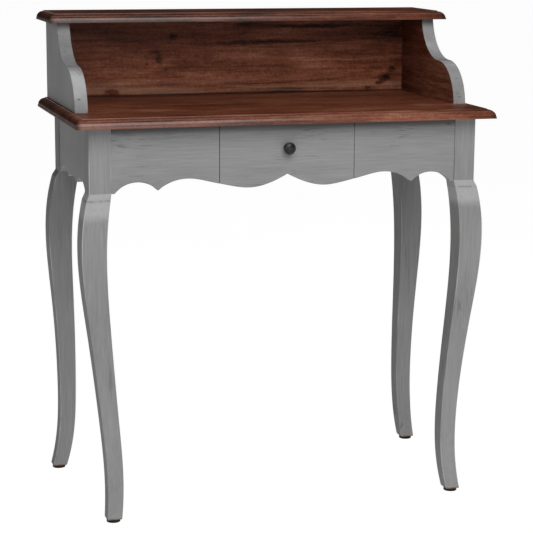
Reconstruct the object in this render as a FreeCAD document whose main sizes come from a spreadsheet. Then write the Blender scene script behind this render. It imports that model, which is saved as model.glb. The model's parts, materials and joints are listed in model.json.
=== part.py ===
import FreeCAD, Part
import os
import Sketcher
from FreeCAD import Placement, Rotation, Vector

# Writing desk with a low hutch: painted cabriole legs and scalloped aprons, stained tops, one drawer.
# Frame: millimetres, origin on the floor under the middle of the desktop, +X right, -Y front, +Z up.

doc = FreeCAD.newDocument("WritingDesk")

DRIVING = {
    # desktop
    "desk_width": 780,
    "desk_depth": 400,
    "writing_height": 730,
    "desktop_thickness": 17.5,
    "edge_radius": 14,
    "edge_ledge": 0.8,
    # leg frame
    "side_overhang": 27.5,
    "front_overhang": 33,
    "rear_overhang": 27,
    "post_width": 40,
    "apron_depth": 118,
    "apron_thickness": 20,
    "apron_setback": 2,
    "rear_apron_depth": 98,
    "tenon_thickness": 10,
    "tenon_length": 20,
    "tenon_shoulder": 14,
    "tenon_low": 28,
    "mortise_clear": 1,
    # cabriole templates: a bevel at the knee, then the heights of the stations below it
    "bevel_drop": 11,
    "bevel_share": 0.36,
    "swell_drop": 74,
    "shin_height": 340,
    "neck_height": 170,
    "ankle_height": 80,
    # how far a front leg's outer side face and its front face stand out from the post
    "front_tuck_swell": 14.9,
    "front_tuck_shin": 0.9,
    "front_tuck_neck": -19.4,
    "front_tuck_ankle": -25.2,
    "front_tuck_foot": -21,
    "front_kick_swell": 9,
    "front_kick_shin": 3.5,
    "front_kick_neck": -1,
    "front_kick_ankle": 8,
    "front_kick_foot": 25,
    # the same for a rear leg's rear face and its outer side face
    "rear_tuck_swell": 7.5,
    "rear_tuck_shin": -1.4,
    "rear_tuck_neck": -4.4,
    "rear_tuck_ankle": -4.6,
    "rear_tuck_foot": 1.3,
    "rear_kick_swell": 18,
    "rear_kick_shin": 12.3,
    "rear_kick_neck": 4,
    "rear_kick_ankle": 6.6,
    "rear_kick_foot": 18.7,
    # width of every leg at the stations
    "width_swell": 45.4,
    "width_shin": 37.5,
    "width_neck": 31.3,
    "width_ankle": 29.7,
    "width_foot": 27.4,
    "pad_height": 5.5,
    "pad_radius": 12.5,
    # scalloped lower edges, measured up from the knee line
    "scallop_flat": 6,
    "front_cusp_rise": 3,
    "front_arch_rise": 19,
    "front_peak_rise": 22.5,
    "drawer_edge_rise": 11.5,
    "drawer_lobe_rise": 2.5,
    "drawer_cusp_rise": 25,
    "side_cusp_rise": 4,
    "side_arch_rise": 17,
    "side_middle_rise": 11,
    # where the scallops turn: shares of a front panel, of half the drawer and of half a side apron
    "front_cusp_share": 0.43,
    "front_peak_share": 0.695,
    "drawer_lobe_share": 0.54,
    "side_cusp_share": 0.3,
    # drawer and its housing
    "drawer_width": 252,
    "drawer_gap": 1.2,
    "drawer_top_gap": 1.5,
    "drawer_side_height": 70,
    "drawer_side_thickness": 12,
    "drawer_lap": 10,
    "drawer_back_drop": 8,
    "bottom_thickness": 5,
    "bottom_rise": 6,
    "groove_depth": 6,
    "guide_thickness": 18,
    "guide_depth": 94,
    "stub_length": 8,
    "stub_shoulder": 4,
    "stub_inset": 14,
    "runner_width": 15,
    "runner_height": 12,
    "runner_setback": 1,
    "kicker_height": 11,
    "kicker_gap": 0.7,
    "glide_gap": 0.3,
    "stop_length": 14,
    "stop_height": 15,
    # knob
    "knob_drop": 46,
    "knob_radius": 11,
    "knob_rim": 2.5,
    "knob_bevel": 2,
    "knob_crown": 1.2,
    "knob_base_radius": 6,
    "knob_neck_radius": 4.5,
    "knob_neck_length": 5,
    "knob_flare": 3.5,
    "rosette_radius": 8,
    "rosette_thickness": 2.2,
    "knob_screw_bite": 9,
    # hutch
    "hutch_height": 149,
    "hutch_inset": 18,
    "hutch_rear_inset": 4,
    "hutch_foot_depth": 291.5,
    "hutch_head_depth": 121,
    "hutch_step_depth": 82,
    "hutch_step_height": 76,
    "hutch_side_thickness": 24,
    "housing_depth": 6,
    "back_thickness": 18,
    "rabbet_depth": 10,
    "top_thickness": 16.5,
    "top_side_overhang": 18,
    "top_front_overhang": 22.5,
    "top_rear_overhang": 4,
    # corner blocks and screws
    "block_clear": 6,
    "block_width": 30,
    "block_height": 24,
    "screw_radius": 2,
    "screw_head_radius": 4,
    "screw_head_height": 2.6,
    "screw_bite": 11,
    "screw_clear": 0.15,
}

sheet = doc.addObject("Spreadsheet::Sheet", "Sizes")
for row, (alias, number) in enumerate(DRIVING.items(), 1):
    sheet.set(f"A{row}", alias)
    sheet.set(f"B{row}", str(number))
    sheet.setAlias(f"B{row}", alias)
doc.recompute()


class Size:
    """A length known both as a number and as a formula on the sheet."""

    def __init__(self, text, value):
        self.text = text
        self.value = value

    @staticmethod
    def of(amount):
        return amount if isinstance(amount, Size) else Size(repr(float(amount)), float(amount))

    def __add__(self, other):
        other = Size.of(other)
        return Size(f"({self.text} + {other.text})", self.value + other.value)

    def __radd__(self, other):
        return Size.of(other) + self

    def __sub__(self, other):
        other = Size.of(other)
        return Size(f"({self.text} - {other.text})", self.value - other.value)

    def __rsub__(self, other):
        return Size.of(other) - self

    def __mul__(self, other):
        other = Size.of(other)
        return Size(f"({self.text} * {other.text})", self.value * other.value)

    def __rmul__(self, other):
        return Size.of(other) * self

    def __truediv__(self, other):
        other = Size.of(other)
        return Size(f"({self.text} / {other.text})", self.value / other.value)

    def __neg__(self):
        return Size(f"(0 - {self.text})", -self.value)

    def root(self):
        return Size(f"sqrt({self.text})", self.value ** 0.5)


class Sheet:
    """Gives each cell of the sheet by its alias, as a Size."""

    def __getattr__(self, alias):
        return Size(f"Sizes.{alias}", float(sheet.get(alias)))


d = Sheet()
nodes = []

SIDES = {"left": -1, "right": 1}
ENDS = {"front": -1, "rear": 1}

# Levels and faces that several pieces share
half_width = d.desk_width / 2
front_edge = -d.desk_depth / 2
rear_edge = d.desk_depth / 2
under = d.writing_height - d.desktop_thickness
knee = under - d.apron_depth
post_x = half_width - d.side_overhang
post_front = front_edge + d.front_overhang
post_rear = rear_edge - d.rear_overhang
inner_x = post_x - d.post_width
inner_front = post_front + d.post_width
inner_rear = post_rear - d.post_width
apron_x = (post_x - d.apron_setback - d.apron_thickness, post_x - d.apron_setback)
apron_front = (post_front + d.apron_setback, post_front + d.apron_setback + d.apron_thickness)
apron_rear = (post_rear - d.apron_setback - d.apron_thickness, post_rear - d.apron_setback)
drawer_x = d.drawer_width / 2
opening_x = drawer_x + d.drawer_gap
side_top = under - d.kicker_height - d.kicker_gap
side_bottom = side_top - d.drawer_side_height
runner_top = side_bottom - d.glide_gap
box_rear = apron_rear[0] - d.stop_length - d.glide_gap
hutch_x = half_width - d.hutch_inset
hutch_inner_x = hutch_x - d.hutch_side_thickness
hutch_rear = rear_edge - d.hutch_rear_inset
hutch_foot = hutch_rear - d.hutch_foot_depth
hutch_head = hutch_rear - d.hutch_head_depth
hutch_top = d.writing_height + d.hutch_height


def bind(thing, formulas):
    for path, amount in formulas.items():
        thing.setExpression(path, Size.of(amount).text)


def span(side, near, far):
    """The low and high ends of a stretch that lies near to far from the middle plane, on one side."""
    return (near, far) if SIDES[side] > 0 else (-far, -near)


def node(piece, name):
    piece.Label = name
    nodes.append(piece)
    return piece


def box(name, x, y, z):
    piece = doc.addObject("Part::Box", name)
    bind(piece, {
        "Length": x[1] - x[0], "Width": y[1] - y[0], "Height": z[1] - z[0],
        "Placement.Base.x": x[0], "Placement.Base.y": y[0], "Placement.Base.z": z[0],
    })
    return piece


TURNS = {"y": Rotation(Vector(1, 0, 0), -90), "z": Rotation()}


def rod(name, axis, start, radius, length):
    """A cylinder from a start point along +Y or +Z."""
    piece = doc.addObject("Part::Cylinder", name)
    piece.Placement = Placement(Vector(), TURNS[axis])
    bind(piece, {"Radius": radius, "Height": length})
    bind(piece, dict(zip(("Placement.Base.x", "Placement.Base.y", "Placement.Base.z"), start)))
    return piece


def fuse(name, pieces):
    whole = doc.addObject("Part::MultiFuse", name)
    whole.Shapes = pieces
    return whole


def cut(name, base, tools):
    whole = doc.addObject("Part::Cut", name)
    whole.Base = base
    whole.Tool = tools[0] if len(tools) == 1 else fuse(name + "_cuts", tools)
    return whole


class Outline:
    """A closed outline drawn point by point in a sketch, each point bound to the sheet."""

    def __init__(self, body, name, plane):
        self.body = body
        self.sketch = body.newObject("Sketcher::SketchObject", name)
        support = [face for face in body.Origin.OriginFeatures if face.Role == plane][0]
        self.sketch.AttachmentSupport = [(support, "")]
        self.sketch.MapMode = "FlatFace"

    def begin(self, start):
        self.start = start
        self.here = start
        self.last = None
        return self

    def at(self, point):
        return Vector(Size.of(point[0]).value, Size.of(point[1]).value, 0)

    def constrain(self, *terms):
        return self.sketch.addConstraint(Sketcher.Constraint(*terms))

    def fix(self, shape, end, point):
        for kind, part in zip(("DistanceX", "DistanceY"), point):
            part = Size.of(part)
            index = self.constrain(kind, -1, 1, shape, end, part.value)
            self.sketch.setExpression(f"Constraints[{index}]", part.text)

    def end_at(self, shape, point):
        gaps = [(self.sketch.getPoint(shape, end) - self.at(point)).Length for end in (1, 2)]
        return 1 if gaps[0] < gaps[1] else 2

    def add(self, geometry, point):
        shape = self.sketch.addGeometry(geometry, False)
        tail = self.end_at(shape, self.here)
        head = 3 - tail
        if self.last:
            self.constrain("Coincident", *self.last, shape, tail)
        else:
            self.first = (shape, tail)
            self.fix(shape, tail, self.here)
        if point is self.start:
            self.constrain("Coincident", shape, head, *self.first)
        else:
            self.fix(shape, head, point)
        self.last = (shape, head)
        self.here = point
        return shape

    def mark(self, point):
        shape = self.sketch.addGeometry(Part.Point(self.at(point)), True)
        self.fix(shape, 1, point)
        return shape

    def line(self, *points):
        for point in points:
            self.add(Part.LineSegment(self.at(self.here), self.at(point)), point)
        return self

    def arc(self, through, point):
        shape = self.add(Part.Arc(self.at(self.here), self.at(through), self.at(point)), point)
        self.constrain("PointOnObject", self.mark(through), 1, shape)
        return self

    def curve(self, through, point, **directions):
        """A smooth curve through the points between, with the directions at its two ends where given."""
        spline = Part.BSplineCurve()
        stations = [self.at(each) for each in (self.here, *through, point)]
        spline.interpolate(Points=stations, **{end: Vector(*way, 0) for end, way in directions.items()})
        shape = self.add(spline, point)
        for knot, each in enumerate(through, 1):
            self.constrain("InternalAlignment:Sketcher::BSplineKnotPoint", self.mark(each), 1, shape, knot)
        return self

    def close(self):
        return self.line(self.start)


def body(name):
    return doc.addObject("PartDesign::Body", name)


def pad(outline, length):
    """A pad to both sides of the sketch's plane."""
    owner = outline.body
    feature = owner.newObject("PartDesign::Pad", owner.Name + "_pad")
    feature.Profile = outline.sketch
    feature.SideType = "Symmetric"
    bind(feature, {"Length": length})
    return owner


def trim(outline):
    """A cut right through, to both sides of the sketch's plane."""
    owner = outline.body
    doc.recompute()
    before = owner.Shape.Volume
    feature = owner.newObject("PartDesign::Pocket", outline.sketch.Name + "_cut")
    feature.Profile = outline.sketch
    feature.SideType = "Symmetric"
    feature.Type = "ThroughAll"
    doc.recompute()
    if not owner.Shape.Volume < before:
        raise RuntimeError(f"{outline.sketch.Name} cut nothing")
    return owner


# Tenons, and the mortises that take them with some spare depth

tenon_z = (knee + d.tenon_low, under - d.tenon_shoulder)
tenon_inset = (d.apron_thickness - d.tenon_thickness) / 2


def cross_tenon(name, end, side, spare=0):
    """A tenon along X, from a front or rear apron into a post."""
    low = (apron_front if end == "front" else apron_rear)[0] + tenon_inset
    x = span(side, inner_x, inner_x + d.tenon_length + spare)
    return box(name, x, (low, low + d.tenon_thickness), tenon_z)


def rail_tenon(name, end, side, spare=0):
    """A tenon along Y, from a side apron into a post."""
    low = apron_x[0] + tenon_inset
    reach = d.tenon_length + spare
    y = (inner_front - reach, inner_front) if end == "front" else (inner_rear, inner_rear + reach)
    return box(name, span(side, low, low + d.tenon_thickness), y, tenon_z)


guide_bottom = under - d.guide_depth


def guide_stub(name, end, side, spare=0):
    """A stub tenon along Y, from a drawer guide into the front panel or the rear apron."""
    x = span(side, opening_x + d.stub_shoulder, opening_x + d.guide_thickness - d.stub_shoulder)
    reach = d.stub_length + spare
    y = (apron_front[1] - reach, apron_front[1]) if end == "front" else (apron_rear[0], apron_rear[0] + reach)
    return box(name, x, y, (guide_bottom + d.stub_inset, under - d.stub_inset))


# Legs: a square post, and below the knee a cabriole sawn to a template on each of two faces.
# One face tucks in towards the foot and the other kicks out, a front leg to the front and a rear leg to
# its side, so a rear leg is drawn as a front one and turned a quarter.

STATIONS = {
    "swell": knee - d.swell_drop,
    "shin": d.shin_height,
    "neck": d.neck_height,
    "ankle": d.ankle_height,
    "foot": d.pad_height,
}


def leg_outline(outline, sweep, hand):
    """From the post's outer top corner down the outer face, over the foot and up the inner face."""
    outer = []
    inner = []
    for station, height in STATIONS.items():
        out = getattr(d, f"{sweep}_{station}")
        outer.append((-out * hand, height))
        inner.append(((getattr(d, f"width_{station}") - out) * hand, height))
    bevel = getattr(d, f"{sweep}_swell") * d.bevel_share
    outline.begin((0, under))
    outline.line((0, knee), (-bevel * hand, knee - d.bevel_drop))
    outline.curve(outer[:-1], outer[-1])
    outline.line(inner[-1])
    outline.curve(inner[-2::-1], (d.post_width * hand, knee))
    outline.line((d.post_width * hand, under))
    return outline.close()


def sawn_leg(name, end, side):
    owner = body(name + "_sawn")
    margin = d.post_width
    reach = 2 * d.post_width
    tuck = Outline(owner, name + "_tuck", "XZ_Plane")
    pad(leg_outline(tuck, end + "_tuck", -SIDES[side]), 2 * reach)
    waste = Outline(owner, name + "_kick", "YZ_Plane").begin((-reach, -margin))
    waste.line((reach, -margin), (reach, under + margin), (-reach, under + margin)).close()
    trim(leg_outline(waste, end + "_kick", 1))
    turn = 0 if end == "front" else 90 * SIDES[side]
    owner.Placement = Placement(Vector(), Rotation(Vector(0, 0, 1), turn))
    bind(owner, {
        "Placement.Base.x": SIDES[side] * post_x,
        "Placement.Base.y": post_front if end == "front" else post_rear,
    })
    return owner


def foot_centre(end, side):
    half = d.width_foot / 2
    if end == "front":
        return (SIDES[side] * (post_x + d.front_tuck_foot - half), post_front - d.front_kick_foot + half)
    return (SIDES[side] * (post_x + d.rear_kick_foot - half), post_rear + d.rear_tuck_foot - half)


for end in ENDS:
    for side in SIDES:
        name = f"leg_{end}_{side}"
        mortises = [
            cross_tenon(name + "_cross_mortise", end, side, d.mortise_clear),
            rail_tenon(name + "_rail_mortise", end, side, d.mortise_clear),
        ]
        node(cut(name, sawn_leg(name, end, side), mortises), name)
        pad_name = f"foot_pad_{end}_{side}"
        node(rod(pad_name, "z", (*foot_centre(end, side), 0), d.pad_radius, d.pad_height), pad_name)

# Aprons. In front one scalloped line runs on through left panel, drawer and right panel.

CUSP_START = 0.9
JOIN_SLOPE = 0.22
CUSP_SLOPE = 0.55


def front_panel(side):
    name = f"apron_front_{side}"
    way = SIDES[side]
    length = inner_x - opening_x
    cusp_x = inner_x - length * d.front_cusp_share
    arch_x = (inner_x - d.scallop_flat + cusp_x) / 2
    peak = (way * (inner_x - length * d.front_peak_share), knee + d.front_peak_rise)
    outline = Outline(body(name + "_panel"), name + "_outline", "XZ_Plane").begin((way * opening_x, under))
    outline.line((way * inner_x, under), (way * inner_x, knee), (way * (inner_x - d.scallop_flat), knee))
    outline.arc((way * arch_x, knee + d.front_arch_rise), (way * cusp_x, knee + d.front_cusp_rise))
    outline.curve([peak], (way * opening_x, knee + d.drawer_edge_rise),
                  InitialTangent=(-way, CUSP_START), FinalTangent=(-way, -JOIN_SLOPE))
    panel = pad(outline.close(), d.apron_thickness)
    bind(panel, {"Placement.Base.y": (apron_front[0] + apron_front[1]) / 2})
    board = fuse(name + "_board", [panel, cross_tenon(name + "_tenon", "front", side)])
    return node(cut(name, board, [guide_stub(name + "_mortise", "front", side, d.mortise_clear)]), name)


def side_apron(side):
    name = f"apron_side_{side}"
    middle = (inner_front + inner_rear) / 2
    front_flat = inner_front + d.scallop_flat
    rear_flat = inner_rear - d.scallop_flat
    cusp_run = (inner_rear - inner_front) / 2 * d.side_cusp_share
    front_cusp = middle - cusp_run
    rear_cusp = middle + cusp_run
    cusp_z = knee + d.side_cusp_rise
    arch_z = knee + d.side_arch_rise
    outline = Outline(body(name + "_board"), name + "_outline", "YZ_Plane").begin((inner_front, under))
    outline.line((inner_rear, under), (inner_rear, knee), (rear_flat, knee))
    outline.arc(((rear_flat + rear_cusp) / 2, arch_z), (rear_cusp, cusp_z))
    outline.arc((middle, knee + d.side_middle_rise), (front_cusp, cusp_z))
    outline.arc(((front_flat + front_cusp) / 2, arch_z), (front_flat, knee))
    outline.line((inner_front, knee))
    board = pad(outline.close(), d.apron_thickness)
    bind(board, {"Placement.Base.x": SIDES[side] * (apron_x[0] + apron_x[1]) / 2})
    return node(fuse(name, [board] + [rail_tenon(f"{name}_{end}_tenon", end, side) for end in ENDS]), name)


for side in SIDES:
    front_panel(side)
    side_apron(side)

rear_board = box("apron_rear_board", (-inner_x, inner_x), apron_rear, (under - d.rear_apron_depth, under))
rear_tenons = [cross_tenon(f"apron_rear_{side}_tenon", "rear", side) for side in SIDES]
rear_mortises = [guide_stub(f"apron_rear_{side}_mortise", "rear", side, d.mortise_clear) for side in SIDES]
node(cut("apron_rear", fuse("apron_rear_blank", [rear_board] + rear_tenons), rear_mortises), "apron_rear")

# Drawer housing: guides between the front panels and the rear apron, each with a runner below the
# drawer's side, a kicker above it and a stop behind it

runner_y = (apron_front[1] + d.runner_setback, apron_rear[0])
stop_y = (apron_rear[0] - d.stop_length, apron_rear[0])
for side in SIDES:
    name = f"drawer_guide_{side}"
    guide_x = span(side, opening_x, opening_x + d.guide_thickness)
    board = box(name + "_board", guide_x, (apron_front[1], apron_rear[0]), (guide_bottom, under))
    node(fuse(name, [board] + [guide_stub(f"{name}_{end}_stub", end, side) for end in ENDS]), name)
    rail_x = span(side, opening_x - d.runner_width, opening_x)
    strips = {
        "runner": (runner_y, (runner_top - d.runner_height, runner_top)),
        "kicker": (runner_y, (under - d.kicker_height, under)),
        "stop": (stop_y, (runner_top, runner_top + d.stop_height)),
    }
    for kind, (y, z) in strips.items():
        node(box(f"drawer_{kind}_{side}", rail_x, y, z), f"drawer_{kind}_{side}")

# Corner blocks brace the aprons behind each post, and a screw through each holds the desktop down

screw_bore = d.screw_radius + d.screw_clear
post_corner = d.post_width - d.apron_setback - d.apron_thickness
block_near = 2 * post_corner + d.block_clear
block_far = block_near + d.block_width
block_inset = (block_near + block_far) / 4
block_seat = under - d.block_height
desktop_screw_length = d.block_height + d.screw_bite
BLOCK_TURNS = {("front", "left"): 0, ("front", "right"): 90, ("rear", "right"): 180, ("rear", "left"): 270}


def corner_block(end, side, hole):
    name = f"corner_block_{end}_{side}"
    outline = Outline(body(name + "_block"), name + "_outline", "XY_Plane").begin((block_near, 0))
    outline.line((block_far, 0), (0, block_far), (0, block_near))
    block = pad(outline.close(), d.block_height)
    block.Placement = Placement(Vector(), Rotation(Vector(0, 0, 1), BLOCK_TURNS[end, side]))
    bind(block, {
        "Placement.Base.x": SIDES[side] * apron_x[0],
        "Placement.Base.y": apron_front[1] if end == "front" else apron_rear[0],
        "Placement.Base.z": under - d.block_height / 2,
    })
    return node(cut(name, block, [hole]), name)


pilot_holes = []
desktop_screws = []
for end in ENDS:
    for side in SIDES:
        name = f"desktop_screw_{end}_{side}"
        x = SIDES[side] * (apron_x[0] - block_inset)
        y = apron_front[1] + block_inset if end == "front" else apron_rear[0] - block_inset
        seat = (x, y, block_seat)
        head_top = (x, y, block_seat - d.screw_head_height)
        hole = rod(name + "_hole", "z", seat, screw_bore, desktop_screw_length)
        pilot_holes.append(hole)
        corner_block(end, side, hole)
        head = rod(name + "_head", "z", head_top, d.screw_head_radius, d.screw_head_height)
        shank = rod(name + "_shank", "z", seat, d.screw_radius, desktop_screw_length)
        desktop_screws.append(fuse(name, [head, shank]))
screws = doc.addObject("Part::Compound", "desktop_screws")
screws.Links = desktop_screws
node(screws, "desktop_screws")

# Hutch: two sides sawn in an S at the front, housed in the desktop and the top, with a back in their rabbets

back_y = (hutch_rear - d.back_thickness, hutch_rear)
back_x = hutch_inner_x + d.rabbet_depth
back_z = (d.writing_height, hutch_top)
side_foot = d.writing_height - d.housing_depth
side_head = hutch_top + d.housing_depth


def half_way_rise(run, rise):
    """Height, half way along, of an arc that starts level and climbs the rise over the run."""
    radius = (run * run + rise * rise) / (2 * rise)
    return radius - (radius * radius - run * run / 4).root()


def hutch_side(side):
    name = f"hutch_side_{side}"
    step_y = hutch_foot + d.hutch_step_depth
    step_z = d.writing_height + d.hutch_step_height
    upper_run = hutch_head - step_y
    upper_half = step_z + half_way_rise(upper_run, hutch_top - step_z)
    lower_half = step_z - half_way_rise(d.hutch_step_depth, d.hutch_step_height)
    outline = Outline(body(name + "_board"), name + "_outline", "YZ_Plane").begin((hutch_rear, side_foot))
    outline.line((hutch_rear, side_head), (hutch_head, side_head), (hutch_head, hutch_top))
    outline.arc((step_y + upper_run / 2, upper_half), (step_y, step_z))
    outline.arc((step_y - d.hutch_step_depth / 2, lower_half), (hutch_foot, d.writing_height))
    outline.line((hutch_foot, side_foot))
    board = pad(outline.close(), d.hutch_side_thickness)
    bind(board, {"Placement.Base.x": SIDES[side] * (hutch_x + hutch_inner_x) / 2})
    rabbet = box(name + "_rabbet", span(side, hutch_inner_x, back_x), back_y, back_z)
    return node(cut(name, board, [rabbet]), name)


for side in SIDES:
    hutch_side(side)
node(box("hutch_back", (-back_x, back_x), back_y, back_z), "hutch_back")

# Desktop and hutch top: boards with a rounded edge over a small ledge, along the front and both ends

HALF_ROOT = 0.5 ** 0.5


def edge_waste(outline, reach, way, half):
    """What the moulding takes off above the ledge of one edge, from outside the board inwards."""
    margin = d.edge_radius
    ledge = half - d.edge_radius
    shoulder = reach - d.edge_ledge
    inner = shoulder - d.edge_radius
    turn = d.edge_radius * HALF_ROOT
    outline.begin((way * (reach + margin), ledge))
    outline.line((way * shoulder, ledge))
    outline.arc((way * (inner + turn), ledge + turn), (way * inner, half))
    outline.line((way * inner, half + margin), (way * (reach + margin), half + margin))
    return outline.close()


def moulded_board(name, half_length, y, z):
    owner = body(name + "_board")
    half = (z[1] - z[0]) / 2
    half_depth = (y[1] - y[0]) / 2
    plan = Outline(owner, name + "_plan", "XY_Plane").begin((-half_length, -half_depth))
    plan.line((half_length, -half_depth), (half_length, half_depth), (-half_length, half_depth))
    pad(plan.close(), z[1] - z[0])
    ends = Outline(owner, name + "_ends", "XZ_Plane")
    for way in SIDES.values():
        edge_waste(ends, half_length, way, half)
    trim(ends)
    trim(edge_waste(Outline(owner, name + "_front", "YZ_Plane"), half_depth, ENDS["front"], half))
    bind(owner, {"Placement.Base.y": (y[0] + y[1]) / 2, "Placement.Base.z": (z[0] + z[1]) / 2})
    return owner


def housings(name, y, z):
    return [box(f"{name}_housing_{side}", span(side, hutch_inner_x, hutch_x), y, z) for side in SIDES]


desktop = moulded_board("desktop", half_width, (front_edge, rear_edge), (under, d.writing_height))
foot_housings = housings("desktop", (hutch_foot, hutch_rear), (side_foot, d.writing_height))
node(cut("desktop", desktop, pilot_holes + foot_housings), "desktop")
top_y = (hutch_head - d.top_front_overhang, hutch_rear + d.top_rear_overhang)
top_z = (hutch_top, hutch_top + d.top_thickness)
top = moulded_board("hutch_top", hutch_x + d.top_side_overhang, top_y, top_z)
head_housings = housings("hutch_top", (hutch_head, hutch_rear), (hutch_top, side_head))
node(cut("hutch_top", top, head_housings), "hutch_top")

# Drawer: a scalloped front lapped over two sides, a back between them and a bottom in grooves

front_top = under - d.drawer_top_gap
edge_z = knee + d.drawer_edge_rise
lobe_z = knee + d.drawer_lobe_rise
side_inner = drawer_x - d.drawer_side_thickness
side_y = (apron_front[1] - d.drawer_lap, box_rear)
bottom_z = (side_bottom + d.bottom_rise, side_bottom + d.bottom_rise + d.bottom_thickness)
bottom_x = side_inner + d.groove_depth
bottom_y = (apron_front[1] - d.groove_depth, box_rear)
knob_z = under - d.knob_drop
lobe_x = drawer_x * d.drawer_lobe_share


def drawer_side_board(name, side):
    return box(name, span(side, side_inner, drawer_x), side_y, (side_bottom, side_top))


def bottom_board(name):
    return box(name, (-bottom_x, bottom_x), bottom_y, bottom_z)


outline = Outline(body("drawer_front_board"), "drawer_front_outline", "XZ_Plane")
outline.begin((-drawer_x, front_top))
outline.line((drawer_x, front_top), (drawer_x, edge_z))
outline.curve([(lobe_x, lobe_z)], (0, knee + d.drawer_cusp_rise),
              InitialTangent=(-1, -JOIN_SLOPE), FinalTangent=(-1, CUSP_SLOPE))
outline.curve([(-lobe_x, lobe_z)], (-drawer_x, edge_z),
              InitialTangent=(-1, -CUSP_SLOPE), FinalTangent=(-1, JOIN_SLOPE))
front = pad(outline.close(), d.apron_thickness)
bind(front, {"Placement.Base.y": (apron_front[0] + apron_front[1]) / 2})
front_cuts = [drawer_side_board(f"drawer_front_lap_{side}", side) for side in SIDES]
front_cuts.append(bottom_board("drawer_front_groove"))
front_cuts.append(rod("drawer_front_bore", "y", (0, apron_front[0], knob_z), screw_bore, d.apron_thickness))
node(cut("drawer_front", front, front_cuts), "drawer_front")
for side in SIDES:
    name = f"drawer_side_{side}"
    node(cut(name, drawer_side_board(name + "_board", side), [bottom_board(name + "_groove")]), name)
drawer_back_y = (box_rear - d.drawer_side_thickness, box_rear)
drawer_back_z = (bottom_z[1], side_top - d.drawer_back_drop)
node(box("drawer_back", (-side_inner, side_inner), drawer_back_y, drawer_back_z), "drawer_back")
node(bottom_board("drawer_bottom"), "drawer_bottom")

# Knob: a bevelled head with a low crown, on a short neck over a rosette, held by a screw from inside


def turned(name, outline):
    owner = outline.body
    feature = owner.newObject("PartDesign::Revolution", name + "_turning")
    feature.Profile = outline.close().sketch
    feature.ReferenceAxis = (outline.sketch, ["H_Axis"])
    feature.Angle = 360
    bind(owner, {"Placement.Base.y": apron_front[0], "Placement.Base.z": knob_z})
    return node(owner, name)


seat = -d.rosette_thickness
neck = seat - d.knob_neck_length
flare = neck - d.knob_flare
rim = flare - d.knob_rim
crown = rim - d.knob_bevel
tip = crown - d.knob_crown
bite = seat - d.knob_screw_bite
crown_radius = d.knob_radius - d.knob_bevel
rosette = Outline(body("knob_rosette"), "rosette_profile", "YZ_Plane").begin((0, screw_bore))
rosette.line((0, d.rosette_radius), (seat, d.rosette_radius + seat), (seat, screw_bore))
turned("knob_rosette", rosette)
knob = Outline(body("knob"), "knob_profile", "YZ_Plane").begin((seat, screw_bore))
knob.line((seat, d.knob_base_radius), (neck, d.knob_neck_radius), (flare, d.knob_radius))
knob.line((rim, d.knob_radius), (crown, crown_radius), (tip, crown_radius / 2), (tip, 0))
knob.line((bite, 0), (bite, screw_bore))
turned("knob", knob)
head = rod("knob_screw_head", "y", (0, apron_front[1], knob_z), d.screw_head_radius, d.screw_head_height)
screw_tip = (0, apron_front[0] + bite, knob_z)
shank = rod("knob_screw_shank", "y", screw_tip, d.screw_radius, d.apron_thickness - bite)
node(fuse("knob_screw", [head, shank]), "knob_screw")

doc.recompute()

failed = [thing.Name for thing in doc.Objects if "Invalid" in thing.State or "Error" in thing.State]
failed += [piece.Label for piece in nodes if piece.Shape.isNull() or not piece.Shape.isValid()]
if failed:
    raise RuntimeError("failed to build: " + ", ".join(failed))

os.makedirs("parts", exist_ok=True)
for piece in nodes:
    piece.Shape.exportStep(f"parts/{piece.Label}.step")
    print(piece.Label, len(piece.Shape.Solids), round(piece.Shape.Volume / 1000, 1), "cm3")
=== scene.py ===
import json
import math

import bpy
from mathutils import Matrix, Vector

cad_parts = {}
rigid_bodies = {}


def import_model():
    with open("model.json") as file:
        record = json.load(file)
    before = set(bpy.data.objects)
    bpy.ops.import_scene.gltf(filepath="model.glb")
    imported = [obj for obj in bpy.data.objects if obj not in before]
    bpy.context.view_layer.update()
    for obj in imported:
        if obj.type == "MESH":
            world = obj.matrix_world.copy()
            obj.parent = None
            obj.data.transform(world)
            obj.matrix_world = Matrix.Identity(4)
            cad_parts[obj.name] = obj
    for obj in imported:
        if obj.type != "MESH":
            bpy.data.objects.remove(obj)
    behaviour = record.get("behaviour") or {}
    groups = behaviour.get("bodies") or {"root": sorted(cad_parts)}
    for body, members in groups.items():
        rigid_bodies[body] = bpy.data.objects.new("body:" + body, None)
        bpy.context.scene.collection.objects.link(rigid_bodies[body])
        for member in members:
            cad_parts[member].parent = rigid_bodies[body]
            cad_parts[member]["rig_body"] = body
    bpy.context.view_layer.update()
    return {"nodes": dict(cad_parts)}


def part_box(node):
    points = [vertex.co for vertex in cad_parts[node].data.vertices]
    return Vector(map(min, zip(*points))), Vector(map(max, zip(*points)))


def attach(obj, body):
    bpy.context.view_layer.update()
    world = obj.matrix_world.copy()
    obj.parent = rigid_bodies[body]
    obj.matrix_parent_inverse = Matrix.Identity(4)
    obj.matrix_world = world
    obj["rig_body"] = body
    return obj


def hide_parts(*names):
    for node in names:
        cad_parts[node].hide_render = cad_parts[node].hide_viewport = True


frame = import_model()
nodes = frame["nodes"]
print("frame loaded,", len(nodes), "wooden and metal pieces")


# Shader wiring

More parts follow.
